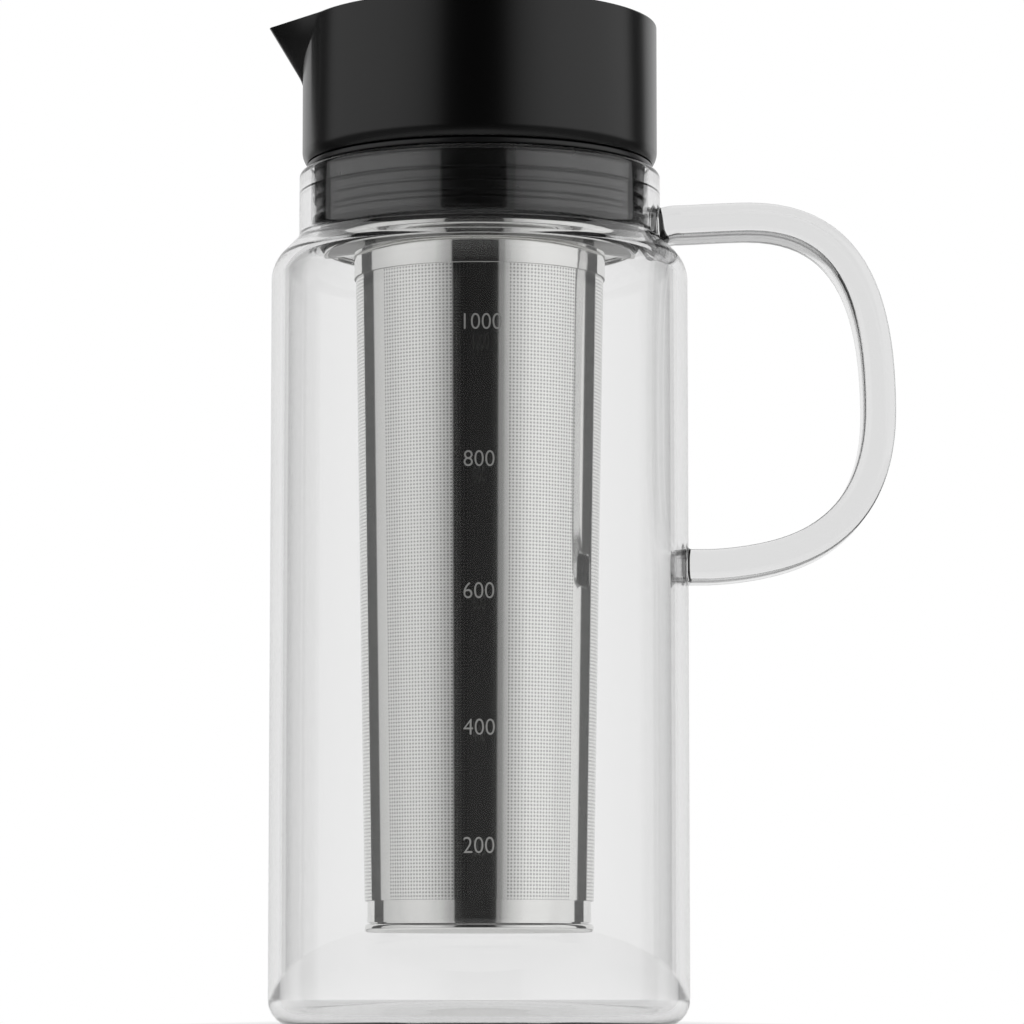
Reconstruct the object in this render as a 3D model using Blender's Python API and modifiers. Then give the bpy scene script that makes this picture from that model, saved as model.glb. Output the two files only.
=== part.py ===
"""Cold brew coffee maker: a one litre glass carafe with a fused glass handle, a steel
mesh filter that hangs in its neck, and a round lid whose cover turns to open its spout.

Metres, +Z up. The origin is the centre of the carafe's flat base, on the axis of the
carafe. The handle points to +X and the spout to -X.
"""

import math

import bmesh
import bpy
from mathutils import Vector

# Shared clearances and mesh steps
SEAT_GAP = 0.0003
TURNING_GAP = 0.0006
CUT_OVERRUN = 0.002
ROUND_STEPS = 40
ARC_STEPS = 4
FILLET_STEPS = 3
EDGE_STEPS = 2
WELD_DISTANCE = 0.00001
SMOOTH_ANGLE = math.radians(35)

# Glass body of the carafe
BODY_RADIUS = 0.0475
BODY_STRAIGHT_HEIGHT = 0.1697
BODY_WALL = 0.0026
BASE_CORNER_RADIUS = 0.0057
FLOOR_EDGE_THICKNESS = 0.0022
FLOOR_CROWN = 0.0016
FLOOR_CROWN_SHARES = (0, 1 / 3, 2 / 3)
INNER_CORNER_RADIUS = 0.004
SHOULDER_RADIUS = 0.008
SHOULDER_LEAN = math.radians(45)
NECK_FILLET_RADIUS = 0.0025
NECK_INSET = 0.00625
NECK_WALL = 0.00275
NECK_LENGTH = 0.0141
LIP_RADIUS = 0.0013

# Glass handle, fused to the neck and to the body
HANDLE_THICKNESS = 0.0072
HANDLE_WIDTH = 0.017
HANDLE_EDGE_RADIUS = 0.0025
UPPER_WELD_DROP = 0.0125
LOWER_WELD_HEIGHT = 0.104
CREST_REACH = 0.0203
CREST_RISE = 0.0013
GRIP_REACH = 0.04335
BEND_REACH = 0.0219
BEND_RISE = 0.0028
WELD_FLARE_LENGTH = 0.004
WELD_SINK = 0.003
WELD_FLARE_SHARE = 1.16
GRIP_HEIGHT_SHARE = 0.456
CREST_ARRIVAL_SHARE = 0.25
CREST_EASE_SHARE = 0.81
GRIP_UPPER_EASE_SHARE = 0.56
GRIP_LOWER_EASE_SHARE = 0.5
BEND_EASE_SHARE = 0.69
BEND_SLOPE_SHARE = 0.32
HANDLE_CURVE_STEPS = 7

# Ribbed silicone sleeve round the collar
RIB_HEIGHT = 0.0008
LOWER_FIN_HEIGHT = 0.0006
GASKET_WALL = 0.0011
GASKET_LENGTH = 0.0154
FIN_TIP_HALF = 0.0002
FIN_ROOT_HALF = 0.0005
UPPER_FIN_DROP = 0.0048
LOWER_FIN_DROP = 0.0074
GROOVE_DROP = 0.0107
GROOVE_HALF = 0.0005
GROOVE_DEPTH = 0.00045
BEAD_DROP = 0.0124
BEAD_HALF = 0.0009
GASKET_FOOT_TAPER = 0.0003

# Collar that hangs the filter on the glass lip
COLLAR_RIM_HEIGHT = 0.0013
COLLAR_RIM_INSET = 0.00165
COLLAR_WALL = 0.0016
COLLAR_DEPTH = 0.0166

# Steel filter
SHEET = 0.0006
BAND_SHEET = 0.00035
FLANGE_HEM = 0.0012
FLANGE_RING_HEIGHT = 0.0031
FLANGE_LEDGE = 0.00575
TOP_BAND_HEIGHT = 0.0067
MESH_SHEET = 0.00035
MESH_TAPER = 0.0028
BOTTOM_BAND_VISIBLE = 0.0048
BOTTOM_BAND_OVERLAP = 0.0031
BAND_WALL = 0.0004
BASE_RIM_HEIGHT = 0.0019
BASE_RIM_OUTSET = 0.0006
BASE_FLOOR_LIFT = 0.0006
BASE_UPSTAND = 0.0037
FILTER_FLOOR_CLEARANCE = 0.0176

# Lid plug, with its two sealing rings
PLUG_CLEARANCE = 0.0004
PLUG_WALL = 0.002
PLUG_DEPTH = 0.0153
PLUG_SEAL_THICKNESS = 0.0016
PLUG_SEAL_DROP = 0.0083
PIVOT_WELL_RADIUS = 0.007
PIVOT_WELL_DEPTH = 0.0054
PIVOT_RADIUS = 0.003
COVER_SEAL_THICKNESS = 0.0012
COVER_SEAL_HEIGHT = 0.0097
SEAL_SIDES = 8
WINDOW_WIDTH = 0.018
WINDOW_HEIGHT = 0.0115
WINDOW_DEPTH = 0.005

# Lid cover with its spout
LID_INSET = 0.00065
LID_HEIGHT = 0.0322
LID_WALL = 0.0025
LID_PLATE = 0.0022
LID_RECESS = 0.001
LID_RIM_WIDTH = 0.002
LID_RIM_ROUND = 0.0006
LID_CHAMFER_HEIGHT = 0.0027
LID_CHAMFER_DEPTH = 0.0011
SOCKET_WALL = 0.0022
SOCKET_DROP = 0.0048
SPOUT_REACH = 0.00815
SPOUT_DROP = 0.0135
SPOUT_HALF_ANGLE = math.radians(55.8)
SPOUT_WALL_ALONG = 0.002
SPOUT_EDGE_ROUND = 0.0008
SPOUT_STEP = 0.0002
SPOUT_ROOT_SINK = 0.0014

# Places that follow from the sizes
neck_radius = BODY_RADIUS - NECK_INSET
shoulder_turn = 1 - math.cos(SHOULDER_LEAN)
shoulder_flank = (
    NECK_INSET - (SHOULDER_RADIUS + NECK_FILLET_RADIUS) * shoulder_turn
) / math.sin(SHOULDER_LEAN)
shoulder_rise = (SHOULDER_RADIUS + NECK_FILLET_RADIUS) * math.sin(SHOULDER_LEAN)
shoulder_rise += shoulder_flank * math.cos(SHOULDER_LEAN)
lip_z = BODY_STRAIGHT_HEIGHT + shoulder_rise + NECK_LENGTH
body_bore = BODY_RADIUS - BODY_WALL
neck_bore = neck_radius - NECK_WALL

gasket_outer = neck_bore - SEAT_GAP - RIB_HEIGHT
gasket_bore = gasket_outer - GASKET_WALL
collar_outer = gasket_bore - SEAT_GAP
collar_bore = collar_outer - COLLAR_WALL
collar_bottom_z = lip_z - COLLAR_DEPTH
collar_top_z = lip_z + SEAT_GAP + COLLAR_RIM_HEIGHT

flange_top_z = collar_bottom_z - SEAT_GAP
flange_bottom_z = flange_top_z - FLANGE_HEM
flange_ring_outer = collar_bore - SEAT_GAP
flange_ring_bore = flange_ring_outer - SHEET
top_band_outer = collar_bore - FLANGE_LEDGE
top_band_bore = top_band_outer - BAND_SHEET
top_band_bottom_z = flange_bottom_z - TOP_BAND_HEIGHT

floor_top_z = FLOOR_EDGE_THICKNESS + FLOOR_CROWN
base_bottom_z = floor_top_z + FILTER_FLOOR_CLEARANCE
base_rim_top_z = base_bottom_z + BASE_RIM_HEIGHT
bottom_band_bottom_z = base_rim_top_z + SEAT_GAP
mesh_bottom_z = bottom_band_bottom_z + BOTTOM_BAND_VISIBLE
mesh_top_z = flange_bottom_z - SEAT_GAP
mesh_top_outer = top_band_bore - SEAT_GAP
mesh_bottom_outer = top_band_outer - MESH_TAPER
bottom_band_outer = mesh_bottom_outer - MESH_SHEET - SEAT_GAP
bottom_band_bore = bottom_band_outer - BAND_WALL

lid_bottom_z = collar_top_z + SEAT_GAP
lid_top_z = lid_bottom_z + LID_HEIGHT
lid_radius = neck_radius - LID_INSET
lid_bore = lid_radius - LID_WALL
plate_top_z = lid_top_z - LID_RECESS
plate_bottom_z = plate_top_z - LID_PLATE
drum_radius = lid_bore - TURNING_GAP
drum_top_z = plate_bottom_z - TURNING_GAP
plug_radius = flange_ring_bore - PLUG_CLEARANCE


def new_collection(name):
    """A collection linked to the scene."""
    made = bpy.data.collections.new(name)
    bpy.context.scene.collection.children.link(made)
    return made


def new_material(name, colour, roughness, metallic=0.0, transmission=0.0, alpha=1.0):
    """A Principled material with the piece's own colour."""
    made = bpy.data.materials.new(name)
    made.use_nodes = True
    shader = made.node_tree.nodes["Principled BSDF"]
    shader.inputs["Base Color"].default_value = (*colour, 1.0)
    shader.inputs["Roughness"].default_value = roughness
    shader.inputs["Metallic"].default_value = metallic
    shader.inputs["Transmission Weight"].default_value = transmission
    shader.inputs["Alpha"].default_value = alpha
    return made


def arc(centre, radius, start, end, steps=ARC_STEPS):
    """Points (r, z) on an arc, with both ends, its angles in radians from +r to +z."""
    return [
        (
            centre[0] + radius * math.cos(start + (end - start) * step / steps),
            centre[1] + radius * math.sin(start + (end - start) * step / steps),
        )
        for step in range(steps + 1)
    ]


def place(obj, collection, material):
    """Puts an object in a collection, with its material."""
    collection.objects.link(obj)
    if material is not None:
        obj.data.materials.append(material)
    return obj


def turned(name, outline, collection, material=None, ring=False):
    """A turned solid. The outline runs from its top, down the outer side, to its bottom;
    a ring's outline goes on up its bore and closes, and another one starts and ends on
    the axis."""
    mesh = bpy.data.meshes.new(name)
    links = [(i, i + 1) for i in range(len(outline) - 1)]
    if ring:
        links.append((len(outline) - 1, 0))
    mesh.from_pydata([(r, 0, z) for r, z in outline], links, [])
    obj = place(bpy.data.objects.new(name, mesh), collection, material)
    screw = obj.modifiers.new("Turn", "SCREW")
    screw.axis = "Z"
    screw.angle = math.tau
    screw.steps = ROUND_STEPS
    screw.render_steps = ROUND_STEPS
    screw.use_merge_vertices = True
    screw.merge_threshold = WELD_DISTANCE
    return obj


def cut(obj, cutter, operation="DIFFERENCE"):
    """Cuts one object with another, or joins the other to it."""
    boolean = obj.modifiers.new(operation.title(), "BOOLEAN")
    boolean.operation = operation
    boolean.solver = "EXACT"
    boolean.object = cutter


def hide(obj):
    """Marks a cutter or a guide, which is no piece of the product."""
    obj.hide_render = True
    obj.display_type = "WIRE"
    return obj


def box_cutter(name, low, high, collection):
    """A box between two corners, for cutting."""
    mesh = bpy.data.meshes.new(name)
    shape = bmesh.new()
    bmesh.ops.create_cube(shape, size=1)
    size = Vector(high) - Vector(low)
    bmesh.ops.scale(shape, vec=size, verts=shape.verts)
    bmesh.ops.translate(shape, vec=Vector(low) + size / 2, verts=shape.verts)
    shape.to_mesh(mesh)
    shape.free()
    return hide(place(bpy.data.objects.new(name, mesh), collection, None))


def settle(obj):
    """Applies the modifiers and shades the piece smooth between its sharp edges."""
    graph = bpy.context.evaluated_depsgraph_get()
    made = bpy.data.meshes.new_from_object(obj.evaluated_get(graph))
    obj.modifiers.clear()
    obj.data = made
    made.shade_smooth()
    made.set_sharp_from_angle(angle=SMOOTH_ANGLE)


def shoulder(wide, narrow, turn_radius, fillet_radius):
    """Points from the neck down over the shoulder to the straight side."""
    turn = 1 - math.cos(SHOULDER_LEAN)
    flank = wide - narrow - (turn_radius + fillet_radius) * turn
    flank /= math.sin(SHOULDER_LEAN)
    flank_low = (
        wide - turn_radius * turn,
        BODY_STRAIGHT_HEIGHT + turn_radius * math.sin(SHOULDER_LEAN),
    )
    fillet_z = flank_low[1] + flank * math.cos(SHOULDER_LEAN)
    fillet_z += fillet_radius * math.sin(SHOULDER_LEAN)
    neck_side = arc(
        (narrow + fillet_radius, fillet_z),
        fillet_radius,
        math.pi,
        math.pi + SHOULDER_LEAN,
        FILLET_STEPS,
    )
    body_side = arc(
        (wide - turn_radius, BODY_STRAIGHT_HEIGHT), turn_radius, SHOULDER_LEAN, 0
    )
    return neck_side + body_side


def glass_outside(grown=0.0):
    """The glass outline below the lip, from the neck to the middle of the base. A grown
    outline stands that far off the glass."""
    corner = BASE_CORNER_RADIUS + grown
    outline = shoulder(
        BODY_RADIUS + grown,
        neck_radius + grown,
        SHOULDER_RADIUS + grown,
        NECK_FILLET_RADIUS - grown,
    )
    outline += arc((BODY_RADIUS - BASE_CORNER_RADIUS, BASE_CORNER_RADIUS), corner, 0, -math.pi / 2)
    outline.append((0, -grown))
    return outline


def glass_inside():
    """The outline of the hollow, from the middle of its floor up to the neck."""
    corner_r = body_bore - INNER_CORNER_RADIUS
    crown = [
        (corner_r * share, floor_top_z - FLOOR_CROWN * share**2) for share in FLOOR_CROWN_SHARES
    ]
    corner = arc(
        (corner_r, FLOOR_EDGE_THICKNESS + INNER_CORNER_RADIUS),
        INNER_CORNER_RADIUS,
        -math.pi / 2,
        0,
    )
    inner_shoulder = shoulder(
        body_bore, neck_bore, SHOULDER_RADIUS - BODY_WALL, NECK_FILLET_RADIUS + BODY_WALL
    )
    return crown + corner + inner_shoulder[::-1]


def make_carafe_body(collection, material):
    """The blown glass jar, with its domed floor, its shoulder and its rounded lip."""
    round_z = lip_z - LIP_RADIUS
    lip = arc((neck_bore + LIP_RADIUS, round_z), LIP_RADIUS, math.pi, math.pi / 2, EDGE_STEPS)
    lip += arc((neck_radius - LIP_RADIUS, round_z), LIP_RADIUS, math.pi / 2, 0, EDGE_STEPS)
    outline = glass_inside() + lip + glass_outside()
    return turned("carafe_body", outline, collection, material)


def handle_section(collection):
    """The rounded bar that is swept along the handle, its thickness along X."""
    half_x = HANDLE_THICKNESS / 2 - HANDLE_EDGE_RADIUS
    half_y = HANDLE_WIDTH / 2 - HANDLE_EDGE_RADIUS
    corners = []
    for quarter, (side_x, side_y) in enumerate(((1, 1), (-1, 1), (-1, -1), (1, -1))):
        start = quarter * math.pi / 2
        centre = (side_x * half_x, side_y * half_y)
        corners += arc(centre, HANDLE_EDGE_RADIUS, start, start + math.pi / 2, EDGE_STEPS)
    curve = bpy.data.curves.new("handle_section", "CURVE")
    curve.dimensions = "2D"
    spline = curve.splines.new("POLY")
    spline.points.add(len(corners) - 1)
    for point, (x, y) in zip(spline.points, corners):
        point.co = (x, y, 0, 1)
    spline.use_cyclic_u = True
    return hide(place(bpy.data.objects.new("handle_section", curve), collection, None))


def handle_route():
    """The handle's centre line from the upper weld to the lower one, as rows of place,
    incoming ease, outgoing ease and size share, in its own plane (out, up)."""
    upper_z = lip_z - UPPER_WELD_DROP
    crest = Vector((neck_radius + CREST_REACH, upper_z + CREST_RISE))
    span = upper_z - LOWER_WELD_HEIGHT
    grip = Vector((BODY_RADIUS + GRIP_REACH, LOWER_WELD_HEIGHT + span * GRIP_HEIGHT_SHARE))
    bend = Vector((BODY_RADIUS + BEND_REACH, LOWER_WELD_HEIGHT + BEND_RISE))
    upper_root = Vector((neck_radius - WELD_SINK, upper_z))
    upper_flare = Vector((neck_radius + WELD_FLARE_LENGTH, upper_z + CREST_RISE / 2))
    lower_root = Vector((BODY_RADIUS - WELD_SINK, LOWER_WELD_HEIGHT))
    lower_flare = Vector((BODY_RADIUS + WELD_FLARE_LENGTH, LOWER_WELD_HEIGHT))
    near = Vector((WELD_FLARE_LENGTH / 2, 0))
    crest_in = Vector((CREST_REACH * CREST_ARRIVAL_SHARE, 0))
    crest_out = Vector(((grip.x - crest.x) * CREST_EASE_SHARE, 0))
    grip_up = Vector((0, (crest.y - grip.y) * GRIP_UPPER_EASE_SHARE))
    grip_down = Vector((0, (grip.y - bend.y) * GRIP_LOWER_EASE_SHARE))
    bend_out = Vector(((grip.x - bend.x) * BEND_EASE_SHARE, 0))
    bend_out.y = bend_out.x * BEND_SLOPE_SHARE
    bend_in = bend_out / 2
    return [
        (upper_root, near, near, WELD_FLARE_SHARE),
        (upper_flare, near, near, 1),
        (crest, crest_in, crest_out, 1),
        (grip, -grip_up, -grip_down, 1),
        (bend, -bend_out, -bend_in, 1),
        (lower_flare, -near, -near, 1),
        (lower_root, -near, -near, WELD_FLARE_SHARE),
    ]


def make_handle(collection, guides, material):
    """The glass strap, swept and then cut to sit on the neck, the shoulder and the body."""
    curve = bpy.data.curves.new("carafe_handle", "CURVE")
    curve.dimensions = "3D"
    curve.twist_mode = "Z_UP"
    curve.resolution_u = HANDLE_CURVE_STEPS
    curve.bevel_mode = "OBJECT"
    curve.bevel_object = handle_section(guides)
    curve.use_fill_caps = True
    route = handle_route()
    spline = curve.splines.new("BEZIER")
    spline.bezier_points.add(len(route) - 1)
    for point, (where, before, after, size) in zip(spline.bezier_points, route):
        point.handle_left_type = "FREE"
        point.handle_right_type = "FREE"
        point.co = (where.x, where.y, 0)
        point.handle_left = (where.x - before.x, where.y - before.y, 0)
        point.handle_right = (where.x + after.x, where.y + after.y, 0)
        point.radius = size
    swept = place(bpy.data.objects.new("handle_sweep", curve), collection, None)
    swept.rotation_euler = (math.pi / 2, 0, 0)
    bpy.context.view_layer.update()
    graph = bpy.context.evaluated_depsgraph_get()
    mesh = bpy.data.meshes.new_from_object(swept.evaluated_get(graph))
    mesh.transform(swept.matrix_world)
    shape = bmesh.new()
    shape.from_mesh(mesh)
    bmesh.ops.remove_doubles(shape, verts=shape.verts, dist=WELD_DISTANCE)
    bmesh.ops.recalc_face_normals(shape, faces=shape.faces)
    shape.to_mesh(mesh)
    shape.free()
    bpy.data.objects.remove(swept)
    handle = place(bpy.data.objects.new("carafe_handle", mesh), collection, material)
    top = [(0, lip_z), (neck_radius + SEAT_GAP, lip_z)]
    seat = turned("handle_seat_cutter", top + glass_outside(SEAT_GAP), guides)
    cut(handle, hide(seat))
    return handle


def fin(root, height, z):
    """A thin sealing fin on the outer side of a sleeve."""
    return [
        (root, z + FIN_ROOT_HALF),
        (root + height, z + FIN_TIP_HALF),
        (root + height, z - FIN_TIP_HALF),
        (root, z - FIN_ROOT_HALF),
    ]


def make_gasket(collection, material):
    """The silicone sleeve: two sharp fins, a groove and a round bead."""
    bottom_z = lip_z - GASKET_LENGTH
    groove_z = lip_z - GROOVE_DROP
    groove_r = gasket_outer - GROOVE_DEPTH
    outline = [(gasket_bore, lip_z), (gasket_outer, lip_z)]
    outline += fin(gasket_outer, RIB_HEIGHT, lip_z - UPPER_FIN_DROP)
    outline += fin(gasket_outer, LOWER_FIN_HEIGHT, lip_z - LOWER_FIN_DROP)
    outline += [
        (gasket_outer, groove_z + GROOVE_HALF + GROOVE_DEPTH),
        (groove_r, groove_z + GROOVE_HALF),
        (groove_r, groove_z - GROOVE_HALF),
    ]
    outline += arc(
        (gasket_outer + RIB_HEIGHT - BEAD_HALF, lip_z - BEAD_DROP),
        BEAD_HALF,
        math.pi / 3,
        -math.pi / 3,
        FILLET_STEPS,
    )
    outline += [(gasket_outer - GASKET_FOOT_TAPER, bottom_z), (gasket_bore, bottom_z)]
    return turned("neck_gasket", outline, collection, material, ring=True)


def make_collar(collection, material):
    """The hard collar: a rim that lies on the glass lip and a sleeve inside the neck."""
    rim_r = neck_radius - COLLAR_RIM_INSET
    outline = [
        (collar_bore, collar_top_z),
        (rim_r, collar_top_z),
        (rim_r, collar_top_z - COLLAR_RIM_HEIGHT),
        (collar_outer, collar_top_z - COLLAR_RIM_HEIGHT),
        (collar_outer, collar_bottom_z),
        (collar_bore, collar_bottom_z),
    ]
    return turned("filter_collar", outline, collection, material, ring=True)


def make_flange(collection, material):
    """The pressed steel flange: a ring that grips the collar's bore, a hemmed disc and a
    plain band that the mesh is welded into."""
    ring_top_z = flange_top_z + FLANGE_RING_HEIGHT
    outline = [
        (flange_ring_bore, ring_top_z),
        (flange_ring_outer, ring_top_z),
        (flange_ring_outer, flange_top_z),
        (collar_outer - FLANGE_HEM / 2, flange_top_z),
        (collar_outer, flange_bottom_z + FLANGE_HEM / 2),
        (collar_outer - FLANGE_HEM / 2, flange_bottom_z),
        (top_band_outer + SHEET, flange_bottom_z),
        (top_band_outer, flange_bottom_z - SHEET),
        (top_band_outer, top_band_bottom_z),
        (top_band_bore, top_band_bottom_z),
        (top_band_bore, flange_bottom_z + SHEET),
        (flange_ring_bore, flange_bottom_z + SHEET),
    ]
    return turned("filter_flange", outline, collection, material, ring=True)


def make_mesh_tube(collection, material):
    """The tapered tube of perforated sheet, tucked into the band above it."""
    outline = [
        (mesh_top_outer - MESH_SHEET, mesh_top_z),
        (mesh_top_outer, mesh_top_z),
        (mesh_bottom_outer, mesh_bottom_z),
        (mesh_bottom_outer - MESH_SHEET, mesh_bottom_z),
    ]
    return turned("filter_mesh", outline, collection, material, ring=True)


def make_bottom_band(collection, material):
    """The plain band that closes the mesh at its foot."""
    top_z = mesh_bottom_z + BOTTOM_BAND_OVERLAP
    outline = [
        (bottom_band_bore, top_z),
        (bottom_band_outer, top_z),
        (bottom_band_outer, bottom_band_bottom_z),
        (bottom_band_bore, bottom_band_bottom_z),
    ]
    return turned("filter_bottom_band", outline, collection, material, ring=True)


def make_filter_base(collection, material):
    """The pressed base: a dished floor, a rounded rim and an upstand inside the band."""
    upstand_outer = bottom_band_bore - SEAT_GAP
    upstand_bore = upstand_outer - BAND_WALL
    rim_round = BASE_RIM_HEIGHT / 2
    rim_centre = (bottom_band_outer + BASE_RIM_OUTSET - rim_round, base_bottom_z + rim_round)
    floor_z = base_bottom_z + BASE_FLOOR_LIFT
    outline = [
        (0, floor_z + SHEET),
        (upstand_bore, floor_z + SHEET),
        (upstand_bore, base_rim_top_z + BASE_UPSTAND),
        (upstand_outer, base_rim_top_z + BASE_UPSTAND),
        (upstand_outer, base_rim_top_z),
    ]
    outline += arc(rim_centre, rim_round, math.pi / 2, -math.pi / 2)
    outline += [(upstand_bore, base_bottom_z), (upstand_bore - BASE_FLOOR_LIFT, floor_z)]
    outline.append((0, floor_z))
    return turned("filter_base", outline, collection, material)


def seal_ring(name, outer, thickness, z, collection, material):
    """A round silicone ring."""
    radius = thickness / 2
    section = arc((outer - radius, z), radius, math.pi, -math.pi, SEAL_SIDES)[:-1]
    return turned(name, section, collection, material, ring=True)


def groove(side, seal_outer, thickness, z):
    """A square groove for a seal ring, in the outer side of a turned piece."""
    bottom = seal_outer - thickness - SEAT_GAP
    half = thickness / 2 + SEAT_GAP
    return [(side, z + half), (bottom, z + half), (bottom, z - half), (side, z - half)]


def make_plug(collection, guides, material, seal_material):
    """The lid's inner body: a plug in the collar, a drum inside the cover with a window
    at its side, and the post that the cover turns on. Its two rings come with it."""
    plug_bottom_z = collar_top_z - PLUG_DEPTH
    step_z = lid_bottom_z + PLUG_WALL
    well_z = drum_top_z - PIVOT_WELL_DEPTH
    plug_bore = plug_radius - PLUG_WALL
    drum_bore = drum_radius - PLUG_WALL
    cover_seal_z = lid_bottom_z + COVER_SEAL_HEIGHT
    cover_seal_outer = lid_bore - SEAT_GAP
    plug_seal_z = lid_bottom_z - PLUG_SEAL_DROP
    plug_seal_outer = collar_bore - SEAT_GAP
    outline = [
        (0, drum_top_z),
        (PIVOT_RADIUS, drum_top_z),
        (PIVOT_RADIUS, well_z),
        (PIVOT_WELL_RADIUS, well_z),
        (PIVOT_WELL_RADIUS, drum_top_z),
        (drum_radius, drum_top_z),
    ]
    outline += groove(drum_radius, cover_seal_outer, COVER_SEAL_THICKNESS, cover_seal_z)
    outline += [(drum_radius, lid_bottom_z), (plug_radius, lid_bottom_z)]
    outline += groove(plug_radius, plug_seal_outer, PLUG_SEAL_THICKNESS, plug_seal_z)
    outline += [
        (plug_radius, plug_bottom_z),
        (plug_bore, plug_bottom_z),
        (plug_bore, step_z),
        (drum_bore, step_z),
        (drum_bore, drum_top_z - PLUG_WALL),
        (PIVOT_WELL_RADIUS + PLUG_WALL, drum_top_z - PLUG_WALL),
        (PIVOT_WELL_RADIUS + PLUG_WALL, well_z - PLUG_WALL),
        (0, well_z - PLUG_WALL),
    ]
    plug = turned("lid_plug", outline, collection, material)
    window = box_cutter(
        "pour_window_cutter",
        (-drum_radius - CUT_OVERRUN, -WINDOW_WIDTH / 2, drum_top_z - WINDOW_HEIGHT),
        (-drum_radius + WINDOW_DEPTH, WINDOW_WIDTH / 2, drum_top_z + CUT_OVERRUN),
        guides,
    )
    cut(plug, window)
    plug_seal = seal_ring(
        "plug_seal", plug_seal_outer, PLUG_SEAL_THICKNESS, plug_seal_z, collection, seal_material
    )
    cover_seal = seal_ring(
        "cover_seal", cover_seal_outer, COVER_SEAL_THICKNESS, cover_seal_z, collection, seal_material
    )
    return [plug, plug_seal, cover_seal]


def spout_wedge(name, moved_in, top_z, back_x, collection):
    """The solid wedge that the spout's outside or its channel is made from: one sloping
    front edge, two flat cheeks and a flat back."""
    foot_z = lid_top_z - SPOUT_DROP
    slope = SPOUT_REACH / SPOUT_DROP
    front_z = foot_z + (back_x - lid_radius + moved_in) / slope
    front_x = lid_radius - moved_in + (top_z - foot_z) * slope
    half = (front_x - back_x) * math.tan(SPOUT_HALF_ANGLE)
    shape = bmesh.new()
    foot = shape.verts.new((-back_x, 0, front_z))
    tip = shape.verts.new((-front_x, 0, top_z))
    shape.verts.new((-back_x, half, top_z))
    shape.verts.new((-back_x, -half, top_z))
    bmesh.ops.convex_hull(shape, input=shape.verts)
    front_edge = [edge for edge in shape.edges if set(edge.verts) == {foot, tip}]
    if moved_in == 0:
        bmesh.ops.bevel(
            shape,
            geom=front_edge,
            offset=SPOUT_EDGE_ROUND,
            segments=EDGE_STEPS,
            profile=0.5,
            affect="EDGES",
        )
    bmesh.ops.recalc_face_normals(shape, faces=shape.faces)
    mesh = bpy.data.meshes.new(name)
    shape.to_mesh(mesh)
    shape.free()
    return hide(place(bpy.data.objects.new(name, mesh), collection, None))


def make_cover(collection, guides, material):
    """The lid's outer shell: a round cup turned over, with a recessed top, a socket for
    the post, and an open spout that runs into its wall."""
    socket_bore = PIVOT_RADIUS + SEAT_GAP
    rim_round = arc(
        (lid_radius - LID_RIM_ROUND, lid_top_z - LID_RIM_ROUND),
        LID_RIM_ROUND,
        math.pi / 2,
        0,
        EDGE_STEPS,
    )
    outline = [
        (0, plate_top_z),
        (lid_radius - LID_RIM_WIDTH, plate_top_z),
        (lid_radius - LID_RIM_WIDTH, lid_top_z),
    ]
    outline += rim_round
    outline += [
        (lid_radius, lid_bottom_z + LID_CHAMFER_HEIGHT),
        (lid_radius - LID_CHAMFER_DEPTH, lid_bottom_z),
        (lid_bore, lid_bottom_z),
        (lid_bore, plate_bottom_z),
        (socket_bore + SOCKET_WALL, plate_bottom_z),
        (socket_bore + SOCKET_WALL, plate_bottom_z - SOCKET_DROP),
        (socket_bore, plate_bottom_z - SOCKET_DROP),
        (socket_bore, plate_bottom_z),
        (0, plate_bottom_z),
    ]
    cover = turned("lid_cover", outline, collection, material)
    root_radius = lid_radius - SPOUT_ROOT_SINK
    root_x = root_radius * math.cos(SPOUT_HALF_ANGLE / 2)
    channel_x = lid_bore - LID_WALL
    spout = spout_wedge("spout_body", 0, lid_top_z - SPOUT_STEP, root_x, guides)
    root = [
        (0, lid_top_z + CUT_OVERRUN),
        (root_radius, lid_top_z + CUT_OVERRUN),
        (root_radius, lid_bottom_z),
        (0, lid_bottom_z),
    ]
    cut(spout, hide(turned("spout_root_cutter", root, guides)))
    channel = spout_wedge(
        "spout_channel_cutter", SPOUT_WALL_ALONG, lid_top_z + CUT_OVERRUN, channel_x, guides
    )
    cut(cover, spout, "UNION")
    cut(cover, channel)
    return cover


def main():
    for obj in list(bpy.data.objects):
        bpy.data.objects.remove(obj)
    parts = new_collection("cold_brew_coffee_maker")
    guides = new_collection("cutters")
    glass = new_material("borosilicate_glass", (0.93, 0.95, 0.95), 0.02, 0.0, 1.0, 0.4)
    handle_glass = new_material("handle_glass", (0.93, 0.95, 0.95), 0.02, 0.0, 1.0, 0.4)
    silicone = new_material("black_silicone", (0.015, 0.015, 0.016), 0.45)
    collar_plastic = new_material("collar_polypropylene", (0.03, 0.03, 0.032), 0.35)
    lid_plastic = new_material("satin_black_plastic", (0.02, 0.02, 0.021), 0.38)
    plug_plastic = new_material("black_polypropylene", (0.02, 0.02, 0.021), 0.4)
    steel = new_material("pressed_steel", (0.56, 0.56, 0.55), 0.22, 1.0)
    mesh_steel = new_material("perforated_steel", (0.5, 0.5, 0.5), 0.34, 1.0)

    pieces = [
        make_carafe_body(parts, glass),
        make_handle(parts, guides, handle_glass),
        make_collar(parts, collar_plastic),
        make_gasket(parts, silicone),
        make_flange(parts, steel),
        make_mesh_tube(parts, mesh_steel),
        make_bottom_band(parts, steel),
        make_filter_base(parts, steel),
        *make_plug(parts, guides, plug_plastic, silicone),
        make_cover(parts, guides, lid_plastic),
    ]
    bpy.context.view_layer.update()
    for piece in pieces:
        settle(piece)


main()
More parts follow.
